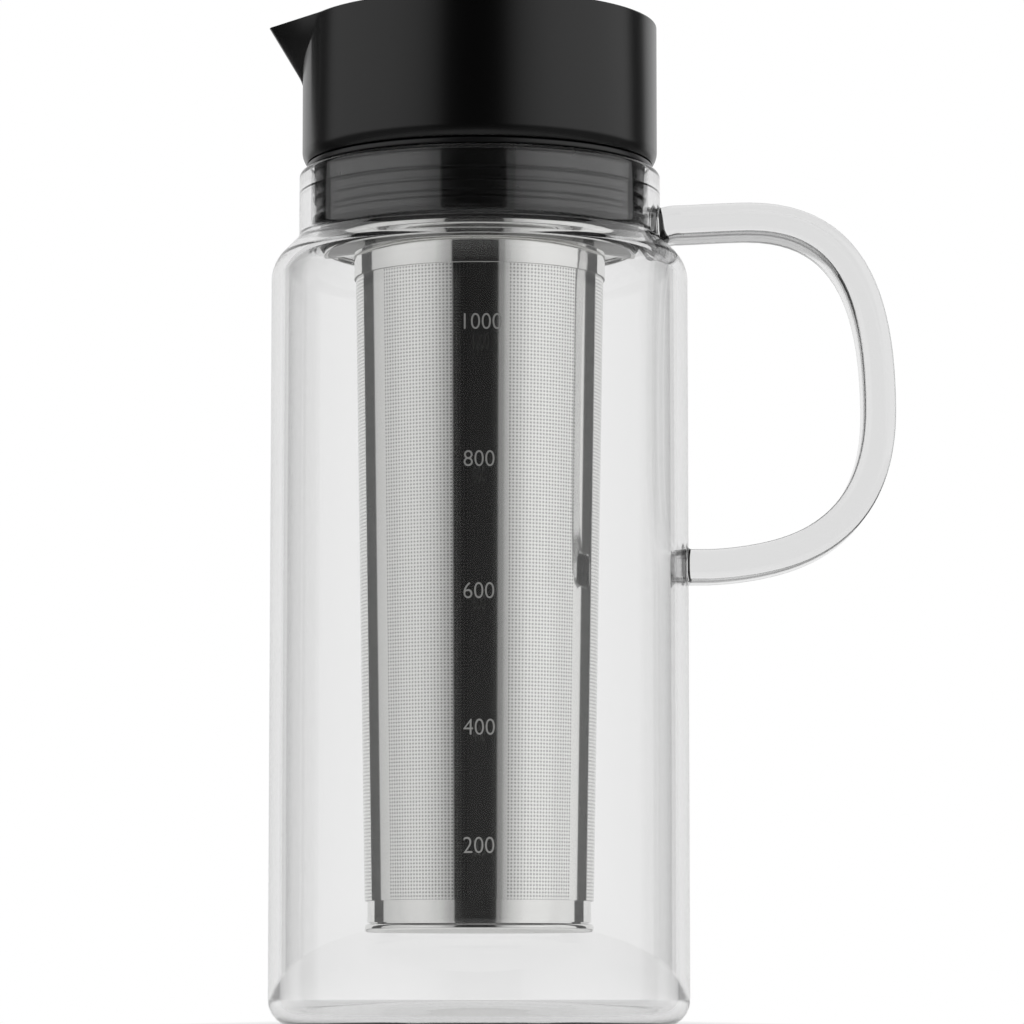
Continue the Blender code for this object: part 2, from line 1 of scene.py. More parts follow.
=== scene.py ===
"""Looks of the cold brew coffee maker: a glass jar with a fused glass handle, a perforated
steel filter that hangs in its neck on a sealed collar, and a satin black pouring lid.

Metres, +Z up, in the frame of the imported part: the origin is the centre of the base, the
handle points to +X and the spout to -X.
"""

import math

import bmesh
import bpy
from mathutils import Matrix, Vector
from mathutils.geometry import interpolate_bezier


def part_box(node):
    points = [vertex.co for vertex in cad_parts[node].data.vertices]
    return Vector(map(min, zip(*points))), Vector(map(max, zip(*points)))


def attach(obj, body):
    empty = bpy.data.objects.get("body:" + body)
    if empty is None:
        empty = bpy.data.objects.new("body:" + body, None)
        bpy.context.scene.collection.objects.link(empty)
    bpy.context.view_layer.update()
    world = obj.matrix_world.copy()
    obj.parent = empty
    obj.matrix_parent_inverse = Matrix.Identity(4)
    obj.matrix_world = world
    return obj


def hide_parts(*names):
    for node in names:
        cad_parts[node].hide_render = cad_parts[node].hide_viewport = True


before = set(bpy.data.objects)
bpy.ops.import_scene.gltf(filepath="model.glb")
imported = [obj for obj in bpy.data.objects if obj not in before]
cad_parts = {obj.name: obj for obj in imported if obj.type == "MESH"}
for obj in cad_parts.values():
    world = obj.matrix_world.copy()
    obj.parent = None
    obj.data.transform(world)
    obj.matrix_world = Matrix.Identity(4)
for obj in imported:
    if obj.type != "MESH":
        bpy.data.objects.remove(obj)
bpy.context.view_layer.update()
MM = 0.001


# Glass jar
# Borosilicate glass, blown in a mould from a tube: an even wall, a rolled shoulder, a
# fire-polished lip, and a floor that is pushed up in the middle, so the jar stands on a ring.
body_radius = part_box("carafe_body")[1].x
lip_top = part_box("carafe_body")[1].z
jar_wall = 2.6 * MM
neck_inset = 6.25 * MM
neck_wall = 2.75 * MM
shoulder_height = 169.7 * MM
shoulder_lean = math.radians(45)
shoulder_round = 8 * MM
neck_fillet = 2.5 * MM
lip_round = 1.3 * MM
base_round = 6.5 * MM
inner_corner_round = 4 * MM
floor_edge = 2.2 * MM
floor_steps = 6
foot_width = 2.4 * MM
punt_depth = 3.6 * MM
glass_steps = 192
corner_steps = 6
neck_radius = body_radius - neck_inset
neck_bore = neck_radius - neck_wall
jar_bore = body_radius - jar_wall
merge_within = 0.001 * MM
smooth_below = math.radians(30)


def rounded_wire(corners, closed):
    """A bmesh wire in the XZ plane through corners (radius, height, rounding), each of
    which is rounded to its own radius."""
    shape = bmesh.new()
    ring = [shape.verts.new((radius, 0, height)) for radius, height, _ in corners]
    for first, second in zip(ring, ring[1:] + ring[: int(closed)]):
        shape.edges.new((first, second))
    places = [vert.co.copy() for vert in ring]
    for index, (_, _, rounding) in enumerate(corners):
        if not rounding:
            continue
        before = places[index - 1] - places[index]
        after = places[(index + 1) % len(places)] - places[index]
        bmesh.ops.bevel(
            shape,
            geom=[ring[index]],
            offset=rounding / math.tan(before.angle(after) / 2),
            offset_type="OFFSET",
            segments=corner_steps,
            profile=0.5,
            affect="VERTICES",
            material=-1,
        )
    return shape


def turned(corners, closed=True, steps=glass_steps):
    """A turned solid: a rounded wire spun once about Z. An open wire starts and ends on
    the axis."""
    shape = rounded_wire(corners, closed)
    bmesh.ops.spin(
        shape,
        geom=shape.verts[:] + shape.edges[:],
        cent=(0, 0, 0),
        axis=(0, 0, 1),
        angle=math.tau,
        steps=steps,
        use_merge=True,
    )
    bmesh.ops.remove_doubles(shape, verts=shape.verts, dist=merge_within)
    bmesh.ops.recalc_face_normals(shape, faces=shape.faces)
    return shape


def shaped(name, shape, sharp=smooth_below):
    """An object from a bmesh, shaded smooth between its sharp edges."""
    mesh = bpy.data.meshes.new(name)
    shape.to_mesh(mesh)
    shape.free()
    mesh.shade_smooth()
    mesh.set_sharp_from_angle(angle=sharp)
    made = bpy.data.objects.new(name, mesh)
    bpy.context.scene.collection.objects.link(made)
    return made


def combined(base, other, operation, sharp=smooth_below):
    """Joins or cuts one object with another by an exact Boolean, and applies it."""
    boolean = base.modifiers.new(operation.title(), "BOOLEAN")
    boolean.operation = operation
    boolean.solver = "EXACT"
    boolean.material_mode = "TRANSFER"
    boolean.object = other
    graph = bpy.context.evaluated_depsgraph_get()
    mesh = bpy.data.meshes.new_from_object(base.evaluated_get(graph))
    base.modifiers.clear()
    base.data = mesh
    mesh.shade_smooth()
    mesh.set_sharp_from_angle(angle=sharp)
    bpy.data.objects.remove(other)


def jar_shoulder(wide, narrow, turn, fillet):
    """The corner at the top of the straight side, and the one at the foot of the neck."""
    low = shoulder_height + turn * math.tan(shoulder_lean / 2)
    high = low + (wide - narrow) / math.tan(shoulder_lean)
    return [(wide, low, turn), (narrow, high, fillet)]


floor_radius = jar_bore - inner_corner_round
foot_radius = body_radius - base_round - foot_width
shares = [step / floor_steps for step in range(floor_steps)]
jar_corners = [
    (floor_radius * share, floor_edge + punt_depth * (1 - share**2), 0) for share in shares
]
jar_corners += [(jar_bore, floor_edge, inner_corner_round)]
jar_corners += jar_shoulder(jar_bore, neck_bore, shoulder_round - jar_wall, neck_fillet + jar_wall)
jar_corners += [(neck_bore, lip_top, lip_round), (neck_radius, lip_top, lip_round)]
jar_corners += jar_shoulder(body_radius, neck_radius, shoulder_round, neck_fillet)[::-1]
jar_corners += [(body_radius, 0, base_round), (foot_radius, 0, 0)]
jar_corners += [(foot_radius * share, punt_depth * (1 - share**2), 0) for share in shares[::-1]]
jar_shape = turned(jar_corners, closed=False)


# Glass handle
# A flat bar of the same glass, bent while soft and fused to the neck and to the side.
# Each end is pressed into the wall, which leaves a small rounded fillet all round it.
bar_thickness = 7.2 * MM
bar_width = 17 * MM
bar_round = 2.3 * MM
bar_round_steps = 8
upper_weld = lip_top - 12.5 * MM
lower_weld = 104 * MM
weld_sink = 0.3 * MM
upper_fillet = 1.6 * MM
lower_fillet = 0.8 * MM
weld_reach = 4 * MM
weld_rise = 0.65 * MM
weld_row = 1 * MM
crest_out = 20.3 * MM
crest_rise = 1.3 * MM
crest_lead = 5 * MM
crest_pull = 0.81
grip_share = 0.456
grip_pull_up = 0.56
grip_pull_down = 0.5
bend_out = 21.9 * MM
bend_rise = 2.8 * MM
bend_slope = 0.32
bend_pull = 0.69
stretch_points = 24
crest = Vector((neck_radius + crest_out, upper_weld + crest_rise))
grip = Vector((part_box("carafe_handle")[1].x - bar_thickness / 2, 0))
grip.y = lower_weld + grip_share * (upper_weld - lower_weld)
bend = Vector((body_radius + bend_out, lower_weld + bend_rise))
weld_ease = Vector((weld_reach / 2, 0))
crest_ease = Vector((crest_pull * (grip.x - crest.x), 0))
grip_up = Vector((0, grip_pull_up * (crest.y - grip.y)))
grip_down = Vector((0, grip_pull_down * (grip.y - bend.y)))
bend_ease = Vector((1, bend_slope)) * bend_pull * (grip.x - bend.x)

# The bar's middle line, from the neck round to the side: each knot has its place, and how
# the line arrives there and leaves it.
handle_knots = [
    (Vector((neck_radius - weld_sink, upper_weld)), weld_ease, weld_ease),
    (Vector((neck_radius + weld_reach, upper_weld + weld_rise)), weld_ease, weld_ease),
    (crest, Vector((crest_lead, 0)), crest_ease),
    (grip, -grip_up, -grip_down),
    (bend, -bend_ease, -bend_ease / 2),
    (Vector((body_radius + weld_reach, lower_weld)), -weld_ease, -weld_ease),
    (Vector((body_radius - weld_sink, lower_weld)), -weld_ease, -weld_ease),
]
handle_line = [handle_knots[0][0]]
for (start, _, leave), (end, arrive, _) in zip(handle_knots, handle_knots[1:]):
    stretch = interpolate_bezier(start, start + leave, end - arrive, end, stretch_points)
    handle_line += stretch[1:]


def weld_beside(place):
    """Radius of the glass wall that this end of the handle is fused to, and the fillet of
    its weld."""
    if place.y > (upper_weld + lower_weld) / 2:
        return neck_radius, upper_fillet
    return body_radius, lower_fillet


def bar_frame(index):
    """Matrix that puts the flat bar section at a point of the handle's line, with the
    fillet that it gains close to the wall."""
    place = handle_line[index]
    ahead = handle_line[min(index + 1, len(handle_line) - 1)]
    behind = handle_line[max(index - 1, 0)]
    along = (ahead - behind).normalized()
    wall, fillet = weld_beside(place)
    gap = min(max(place.x - wall, 0), fillet)
    gained = fillet - math.sqrt(fillet**2 - (fillet - gap) ** 2)
    thick = 1 + 2 * gained / bar_thickness
    wide = 1 + 2 * gained / bar_width
    across = Vector((along.y, 0, -along.x)) * thick
    frame_rows = (
        (across.x, 0, along.x, place.x),
        (0, wide, 0, 0),
        (across.z, 0, along.y, place.y),
        (0, 0, 0, 1),
    )
    return Matrix(frame_rows)


handle_shape = bmesh.new()
bmesh.ops.create_grid(handle_shape, x_segments=1, y_segments=1, size=0.5)
bmesh.ops.scale(handle_shape, vec=(bar_thickness, bar_width, 1), verts=handle_shape.verts)
bmesh.ops.bevel(
    handle_shape,
    geom=handle_shape.verts[:],
    offset=bar_round,
    offset_type="OFFSET",
    segments=bar_round_steps,
    profile=0.5,
    affect="VERTICES",
    material=-1,
)
bmesh.ops.delete(handle_shape, geom=handle_shape.faces[:], context="FACES_ONLY")
ring = handle_shape.edges[:]
standing = Matrix.Identity(4)
for index in range(len(handle_line)):
    if index:
        grown = bmesh.ops.extrude_edge_only(handle_shape, edges=ring)["geom"]
        ring = [item for item in grown if isinstance(item, bmesh.types.BMEdge)]
    wanted = bar_frame(index)
    moved = list({vert for edge in ring for vert in edge.verts})
    bmesh.ops.transform(handle_shape, matrix=wanted @ standing.inverted(), verts=moved)
    standing = wanted
bmesh.ops.holes_fill(handle_shape, edges=handle_shape.edges[:], sides=0)

# Each end is drawn round the jar, so that its fillet is even across the bar's width.
for vert in handle_shape.verts:
    wall, _ = weld_beside(Vector((vert.co.x, vert.co.z)))
    share = min(max(1 - (vert.co.x - wall) / weld_reach, 0), 1)
    vert.co.x -= (wall - math.sqrt(wall**2 - vert.co.y**2)) * share
bmesh.ops.recalc_face_normals(handle_shape, faces=handle_shape.faces)

# The jar's wall is cut into rows 1 mm high at each weld, so that the two pieces join there
# along short, even faces.
for weld in (upper_weld, lower_weld):
    rows = round(bar_thickness / weld_row)
    for row in range(-rows, rows + 1):
        bmesh.ops.bisect_plane(
            jar_shape,
            geom=jar_shape.verts[:] + jar_shape.edges[:] + jar_shape.faces[:],
            plane_co=(0, 0, weld + row * weld_row),
            plane_no=(0, 0, 1),
        )
carafe_glass = shaped("carafe_glass", jar_shape)
handle_bar = shaped("handle_bar", handle_shape)


def linear(code):
    """Scene-linear red, green, blue and alpha of an sRGB hex colour."""
    shares = [int(code[place : place + 2], 16) / 255 for place in (1, 3, 5)]
    return (*(s / 12.92 if s <= 0.04045 else ((s + 0.055) / 1.055) ** 2.4 for s in shares), 1)


def new_finish(name):
    """An empty material, and its node tree."""
    made = bpy.data.materials.new(name)
    made.use_nodes = True
    made.node_tree.nodes.clear()
    return made, made.node_tree


def add_node(tree, kind, settings, links):
    """Adds a node, sets its inputs or its own settings, and links its inputs."""
    made = tree.nodes.new(kind)
    for name, value in settings.items():
        if isinstance(name, int) or name in made.inputs:
            made.inputs[name].default_value = value
        else:
            setattr(made, name, value)
    for name, source in links.items():
        tree.links.new(source, made.inputs[name])
    return made


ripple_length = 24 * MM
ripple_depth = 0.05 * MM


def clear_glass(name, tint):
    """Glass as smooth as a lens, with slow ripples left by the mould or by drawing. Its
    tint is what is lost on the way through."""
    made, tree = new_finish(name)
    coordinates = add_node(tree, "ShaderNodeTexCoord", {}, {})
    ripples = add_node(
        tree,
        "ShaderNodeTexNoise",
        {"Scale": 1 / ripple_length, "Detail": 0.0},
        {"Vector": coordinates.outputs["Object"]},
    )
    ripple_bump = add_node(
        tree,
        "ShaderNodeBump",
        {"Strength": 0.25, "Distance": ripple_depth},
        {"Height": ripples.outputs["Fac"]},
    )
    shader = add_node(
        tree,
        "ShaderNodeBsdfPrincipled",
        {"Base Color": linear(tint), "Roughness": 0.0, "IOR": 1.474, "Transmission Weight": 1.0},
        {"Normal": ripple_bump.outputs["Normal"]},
    )
    add_node(tree, "ShaderNodeOutputMaterial", {}, {"Surface": shader.outputs["BSDF"]})
    return made


# Blown borosilicate glass: clear and neutral. The handle is the same glass drawn as a
# bar, which looks greyer because its light crosses several times as much of it.
carafe_glass.data.materials.append(clear_glass("blown_borosilicate_glass", "#F5F5F5"))
handle_bar.data.materials.append(clear_glass("drawn_borosilicate_glass", "#E4E4E4"))
combined(carafe_glass, handle_bar, "UNION")
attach(carafe_glass, "carafe")
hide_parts("carafe_body", "carafe_handle")


# Volume numbers
# Plain figures, screen-printed in one pass of pale ceramic ink on the front of the jar and
# fired on, so they lie on the glass as a thin matt skin.
number_places = {
    "1000": 153.7 * MM,
    "800": 123.6 * MM,
    "600": 94.8 * MM,
    "400": 65.2 * MM,
    "200": 39.7 * MM,
}
number_height = 3.5 * MM
number_left = -3.1 * MM
number_squeeze = 0.92
number_curve_steps = 6
stroke_thinning = 0.008
ink_film = 0.02 * MM

# Fired ceramic ink: pale grey and quite matt, so it stays even where the glass shines.
ink, tree = new_finish("fired_ceramic_ink")
ink_shader = add_node(
    tree,
    "ShaderNodeBsdfPrincipled",
    {"Base Color": linear("#A2A2A0"), "Roughness": 0.6},
    {},
)
add_node(tree, "ShaderNodeOutputMaterial", {}, {"Surface": ink_shader.outputs["BSDF"]})

# Each number is bent round the jar, with its ink lifted clear of the glass by its film.
numbers_shape = bmesh.new()
for figures, height in number_places.items():
    text = bpy.data.curves.new(figures, "FONT")
    text.body = figures
    text.extrude = ink_film
    text.resolution_u = number_curve_steps
    text.offset = -stroke_thinning
    written = bpy.data.objects.new(figures, text)
    bpy.context.scene.collection.objects.link(written)
    graph = bpy.context.evaluated_depsgraph_get()
    flat = bpy.data.meshes.new_from_object(written.evaluated_get(graph))
    bpy.data.objects.remove(written)
    left = min(vert.co.x for vert in flat.vertices)
    low = min(vert.co.y for vert in flat.vertices)
    size = number_height / (max(vert.co.y for vert in flat.vertices) - low)
    for vert in flat.vertices:
        angle = ((vert.co.x - left) * size * number_squeeze + number_left) / body_radius
        radius = body_radius + 2 * ink_film + vert.co.z
        rise = (vert.co.y - low) * size - number_height / 2
        vert.co = (radius * math.sin(angle), -radius * math.cos(angle), height + rise)
    numbers_shape.from_mesh(flat)
bmesh.ops.remove_doubles(numbers_shape, verts=numbers_shape.verts, dist=merge_within)
volume_numbers = shaped("volume_numbers", numbers_shape)
volume_numbers.data.materials.append(ink)
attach(volume_numbers, "carafe")


# Perforated filter tube
# Stainless sheet 0.35 mm thick, etched through with rows of fine round holes, rolled into
# a slim taper and seam-welded. Its top end is tucked into the plain band of the flange.
tube_top = 170.6 * MM
tube_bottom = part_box("filter_mesh")[0].z
tube_top_radius = 28.3 * MM
tube_bottom_radius = 25.85 * MM
tube_sheet = 0.35 * MM
hole_pitch = 0.8 * MM
hole_radius = 0.24 * MM
hole_edge = 0.1 * MM
tube_shape = turned(
    [
        (tube_top_radius - tube_sheet, tube_top, 0),
        (tube_top_radius, tube_top, 0),
        (tube_bottom_radius, tube_bottom, 0),
        (tube_bottom_radius - tube_sheet, tube_bottom, 0),
    ]
)
filter_tube = shaped("filter_tube", tube_shape)

# Etched stainless sheet: bright, faintly satin metal with fine dark pinholes. Strips up the
# tube are left without holes as a painted highlight: they stand where, seen from the front,
# the lights' glare washes out the holes, and they are repeated round the back. The holes are
# drawn 0.8 mm apart, wider than the real ones, so that they show. Each strip has its middle
# and its width in degrees round the tube, from the front.
painted_glare_strips = {-180: 17, -120: 17, -58.5: 17, 4.6: 18.7, 58.5: 16, 120: 17}
perforated, tree = new_finish("etched_stainless_sheet")
columns = round(math.tau * (tube_top_radius + tube_bottom_radius) / 2 / hole_pitch)
coordinates = add_node(tree, "ShaderNodeTexCoord", {}, {})
place = add_node(tree, "ShaderNodeSeparateXYZ", {}, {"Vector": coordinates.outputs["Object"]})
towards_camera = add_node(
    tree, "ShaderNodeMath", {"operation": "MULTIPLY", 1: -1.0}, {0: place.outputs["Y"]}
)
around = add_node(
    tree,
    "ShaderNodeMath",
    {"operation": "ARCTAN2"},
    {0: place.outputs["X"], 1: towards_camera.outputs[0]},
)
column = add_node(
    tree, "ShaderNodeMath", {"operation": "MULTIPLY", 1: columns / math.tau}, {0: around.outputs[0]}
)
row = add_node(
    tree, "ShaderNodeMath", {"operation": "MULTIPLY", 1: 1 / hole_pitch}, {0: place.outputs["Z"]}
)
offsets = []
for line in (column, row):
    cell = add_node(tree, "ShaderNodeMath", {"operation": "FRACT"}, {0: line.outputs[0]})
    offsets.append(
        add_node(tree, "ShaderNodeMath", {"operation": "SUBTRACT", 1: 0.5}, {0: cell.outputs[0]})
    )
offset = add_node(
    tree,
    "ShaderNodeCombineXYZ",
    {},
    {"X": offsets[0].outputs[0], "Y": offsets[1].outputs[0]},
)
distance = add_node(
    tree, "ShaderNodeVectorMath", {"operation": "LENGTH"}, {"Vector": offset.outputs[0]}
)
hole = add_node(
    tree,
    "ShaderNodeMapRange",
    {
        "interpolation_type": "SMOOTHSTEP",
        "From Min": (hole_radius + hole_edge / 2) / hole_pitch,
        "From Max": (hole_radius - hole_edge / 2) / hole_pitch,
    },
    {"Value": distance.outputs["Value"]},
)
full_turn = add_node(
    tree,
    "ShaderNodeMapRange",
    {"From Min": -math.pi, "From Max": math.pi},
    {"Value": around.outputs[0]},
)
# The ramp is 0 on the painted highlight strips, where no holes are drawn, and 1 elsewhere.
etched = add_node(tree, "ShaderNodeValToRGB", {}, {"Fac": full_turn.outputs["Result"]})
etched.color_ramp.interpolation = "CONSTANT"
etched.color_ramp.elements[0].color = (0, 0, 0, 1)
etched.color_ramp.elements[1].color = (1, 1, 1, 1)
etched.color_ramp.elements[1].position = painted_glare_strips[-180] / 2 / 360
for middle, width in painted_glare_strips.items():
    if middle > -180:
        for edge, level in ((middle - width / 2, 0), (middle + width / 2, 1)):
            etched.color_ramp.elements.new(edge / 360 + 0.5).color = (level, level, level, 1)
etched.color_ramp.elements.new(1 - painted_glare_strips[-180] / 2 / 360).color = (0, 0, 0, 1)
pinholes = add_node(
    tree,
    "ShaderNodeMath",
    {"operation": "MULTIPLY"},
    {0: hole.outputs["Result"], 1: etched.outputs["Color"]},
)
sheet_colour = add_node(
    tree,
    "ShaderNodeMix",
    {"data_type": "RGBA", 6: linear("#F6F6F4"), 7: linear("#BFBFBE")},
    {0: pinholes.outputs[0]},
)
sheet_shader = add_node(
    tree,
    "ShaderNodeBsdfPrincipled",
    {"Metallic": 1.0, "Roughness": 0.08},
    {"Base Color": sheet_colour.outputs[2]},
)
add_node(tree, "ShaderNodeOutputMaterial", {}, {"Surface": sheet_shader.outputs["BSDF"]})
filter_tube.data.materials.append(perforated)
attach(filter_tube, "filter")
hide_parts("filter_mesh")


# Filter foot: plain bottom band
# A ring of plain stainless strip, rolled round and welded. It is spot-welded to the end of
# the perforated tube, which it keeps stiff.
foot_band_low, foot_band_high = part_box("filter_bottom_band")
foot_band_radius = foot_band_high.x
foot_band_wall = 0.4 * MM
foot_band = shaped(
    "filter_foot_band",
    turned(
        [
            (foot_band_radius - foot_band_wall, foot_band_high.z, 0),
            (foot_band_radius, foot_band_high.z, 0),
            (foot_band_radius, foot_band_low.z, 0),
            (foot_band_radius - foot_band_wall, foot_band_low.z, 0),
        ]
    ),
)

# Bright annealed stainless strip: a mirror with very fine rolling lines round it. They are
# drawn 0.35 mm apart, coarser than the real ones, so that they show.
roll_line_length = 30 * MM
roll_line_spacing = 0.35 * MM
roll_line_depth = 0.02 * MM
bright_steel, tree = new_finish("bright_rolled_stainless")
coordinates = add_node(tree, "ShaderNodeTexCoord", {}, {})
rolling = add_node(
    tree,
    "ShaderNodeMapping",
    {"Scale": (1 / roll_line_length, 1 / roll_line_length, 1 / roll_line_spacing)},
    {"Vector": coordinates.outputs["Object"]},
)
lines = add_node(
    tree, "ShaderNodeTexNoise", {"Scale": 1.0, "Detail": 2.0}, {"Vector": rolling.outputs[0]}
)
line_bump = add_node(
    tree,
    "ShaderNodeBump",
    {"Strength": 0.08, "Distance": roll_line_depth},
    {"Height": lines.outputs["Fac"]},
)
steel_shader = add_node(
    tree,
    "ShaderNodeBsdfPrincipled",
    {"Base Color": linear("#F8F8F6"), "Metallic": 1.0, "Roughness": 0.07},
    {"Normal": line_bump.outputs["Normal"]},
)
add_node(tree, "ShaderNodeOutputMaterial", {}, {"Surface": steel_shader.outputs["BSDF"]})
foot_band.data.materials.append(bright_steel)
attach(foot_band, "filter")
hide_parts("filter_bottom_band")


# Filter foot: base
# A shallow cup pressed from a disc of the same steel, with a rolled rim. Its wall is pushed
# up into the band, and the rim closes the foot of the filter.
base_low, base_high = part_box("filter_base")
base_radius = base_high.x
base_rim = 1.9 * MM
base_rim_round = 0.45 * base_rim
base_rim_top = base_low.z + base_rim
base_upstand_radius = 24.5 * MM
base_sheet = 0.6 * MM
filter_base = shaped(
    "filter_base_cup",
    turned(
        [
            (0, base_low.z + 2 * base_sheet, 0),
            (base_upstand_radius - base_sheet, base_low.z + 2 * base_sheet, base_sheet),
            (base_upstand_radius - base_sheet, base_high.z, 0),
            (base_upstand_radius, base_high.z, 0),
            (base_upstand_radius, base_rim_top, 0),
            (base_radius, base_rim_top, base_rim_round),
            (base_radius, base_low.z, base_rim_round),
            (base_upstand_radius - base_sheet, base_low.z, base_sheet / 2),
            (base_upstand_radius - 2 * base_sheet, base_low.z + base_sheet, base_sheet / 2),
            (0, base_low.z + base_sheet, 0),
        ],
        closed=False,
    ),
)
filter_base.data.materials.append(bright_steel)
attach(filter_base, "filter")
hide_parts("filter_base")


# Filter flange
# Pressed from one disc of stainless: a ring that snaps into the collar, a flat ledge with
# its edge turned down, and the plain band that holds the top of the perforated tube.
flange_low, flange_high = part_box("filter_flange")
flange_radius = flange_high.x
flange_sheet = 0.6 * MM
band_sheet = 0.35 * MM
band_radius = 28.65 * MM
ledge_top = 177.5 * MM
ledge_sheet = 0.5 * MM
turned_edge = 1.3 * MM
snap_ring_radius = 34.1 * MM
filter_flange = shaped(
    "filter_flange_pressing",
    turned(
        [
            (snap_ring_radius - flange_sheet, flange_high.z, 0.2 * MM),
            (snap_ring_radius, flange_high.z, 0.2 * MM),
            (snap_ring_radius, ledge_top, 0.15 * MM),
            (flange_radius, ledge_top, 0.5 * MM),
            (flange_radius, ledge_top - turned_edge, 0.28 * MM),
            (flange_radius - flange_sheet, ledge_top - turned_edge, 0.28 * MM),
            (flange_radius - flange_sheet, ledge_top - ledge_sheet, 0.5 * MM),
            (band_radius, ledge_top - ledge_sheet, 0.15 * MM),
            (band_radius, flange_low.z, 0.08 * MM),
            (band_radius - band_sheet, flange_low.z, 0.08 * MM),
            (band_radius - band_sheet, ledge_top, 0.5 * MM),
            (snap_ring_radius - flange_sheet, ledge_top, 0.3 * MM),
        ]
    ),
)
filter_flange.data.materials.append(bright_steel)
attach(filter_flange, "filter")
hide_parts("filter_flange")


# Collar
# Dark grey polypropylene, injection moulded: a thin rim that hangs on the glass lip and a
# sleeve that reaches into the neck and carries the silicone.
collar_low, collar_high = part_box("filter_collar")
collar_rim_radius = collar_high.x
collar_rim_height = 1.3 * MM
collar_bore = 34.4 * MM
collar_sleeve_radius = 36 * MM
filter_collar = shaped(
    "filter_collar_moulding",
    turned(
        [
            (collar_bore, collar_high.z, 0.3 * MM),
            (collar_rim_radius, collar_high.z, 0.4 * MM),
            (collar_rim_radius, collar_high.z - collar_rim_height, 0.3 * MM),
            (collar_sleeve_radius, collar_high.z - collar_rim_height, 0.2 * MM),
            (collar_sleeve_radius, collar_low.z, 0.4 * MM),
            (collar_bore, collar_low.z, 0.3 * MM),
        ]
    ),
)

# Moulded polypropylene: semi-gloss and nearly black, with the faint grain of the mould. The
# grain is drawn 0.3 mm wide, coarser than the real one, so that it shows.
grain_width = 0.3 * MM
grain_depth = 0.02 * MM
polypropylene, tree = new_finish("moulded_polypropylene")
coordinates = add_node(tree, "ShaderNodeTexCoord", {}, {})
grain = add_node(
    tree,
    "ShaderNodeTexNoise",
    {"Scale": 1 / grain_width, "Detail": 2.0},
    {"Vector": coordinates.outputs["Object"]},
)
grain_bump = add_node(
    tree,
    "ShaderNodeBump",
    {"Strength": 0.1, "Distance": grain_depth},
    {"Height": grain.outputs["Fac"]},
)
polypropylene_shader = add_node(
    tree,
    "ShaderNodeBsdfPrincipled",
    {"Base Color": linear("#1C1C1D"), "Roughness": 0.3, "IOR": 1.49},
    {"Normal": grain_bump.outputs["Normal"]},
)
add_node(tree, "ShaderNodeOutputMaterial", {}, {"Surface": polypropylene_shader.outputs["BSDF"]})
filter_collar.data.materials.append(polypropylene)
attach(filter_collar, "filter")
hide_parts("filter_collar")


# Neck gasket
# Black silicone, moulded as one soft sleeve: two thin fins that press on the glass, a
# groove, and a round bead above the tapered foot. It is stretched over the collar.
gasket_low, gasket_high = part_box("neck_gasket")
gasket_bore = 36.3 * MM
gasket_radius = 37.4 * MM
gasket_taper = 0.3 * MM
upper_fin_press = 0.03 * MM
lower_fin_gap = 0.4 * MM
fins = ((189.6 * MM, neck_bore + upper_fin_press), (187 * MM, neck_bore - lower_fin_gap))
fin_root = 0.5 * MM
fin_tip = 0.2 * MM
groove_height = 183.7 * MM
groove_half = 0.5 * MM
groove_depth = 0.45 * MM
bead_height = 182 * MM
bead_half = 0.9 * MM
bead_radius = neck_bore - 0.3 * MM
gasket_corners = [
    (gasket_bore, gasket_high.z, 0.2 * MM),
    (gasket_radius, gasket_high.z, 0.3 * MM),
]
for fin_height, fin_radius in fins:
    gasket_corners += [
        (gasket_radius, fin_height + fin_root, 0.15 * MM),
        (fin_radius, fin_height + fin_tip, 0.05 * MM),
        (fin_radius, fin_height - fin_tip, 0.05 * MM),
        (gasket_radius, fin_height - fin_root, 0.15 * MM),
    ]
gasket_corners += [
    (gasket_radius, groove_height + groove_half + groove_depth, 0.4 * MM),
    (gasket_radius - groove_depth, groove_height + groove_half, 0.3 * MM),
    (gasket_radius - groove_depth, groove_height - groove_half, 0.3 * MM),
    (bead_radius, bead_height + bead_half, 0.7 * MM),
    (bead_radius, bead_height - bead_half, 0.7 * MM),
    (gasket_radius - gasket_taper, gasket_low.z, 0.3 * MM),
    (gasket_bore, gasket_low.z, 0.2 * MM),
]
neck_gasket = shaped("neck_gasket_sleeve", turned(gasket_corners))

# Moulded silicone: deep black with a soft, slightly greasy sheen that varies from patch to
# patch, and no visible grain.
sheen_patch = 3 * MM
silicone, tree = new_finish("moulded_silicone")
coordinates = add_node(tree, "ShaderNodeTexCoord", {}, {})
softness = add_node(
    tree,
    "ShaderNodeTexNoise",
    {"Scale": 1 / sheen_patch, "Detail": 2.0},
    {"Vector": coordinates.outputs["Object"]},
)
sheen_roughness = add_node(
    tree,
    "ShaderNodeMapRange",
    {"To Min": 0.2, "To Max": 0.3},
    {"Value": softness.outputs["Fac"]},
)
silicone_shader = add_node(
    tree,
    "ShaderNodeBsdfPrincipled",
    {"Base Color": linear("#0C0C0C"), "IOR": 1.43, "Specular IOR Level": 1.0},
    {"Roughness": sheen_roughness.outputs["Result"]},
)
add_node(tree, "ShaderNodeOutputMaterial", {}, {"Surface": silicone_shader.outputs["BSDF"]})
neck_gasket.data.materials.append(silicone)
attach(neck_gasket, "filter")
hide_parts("neck_gasket")


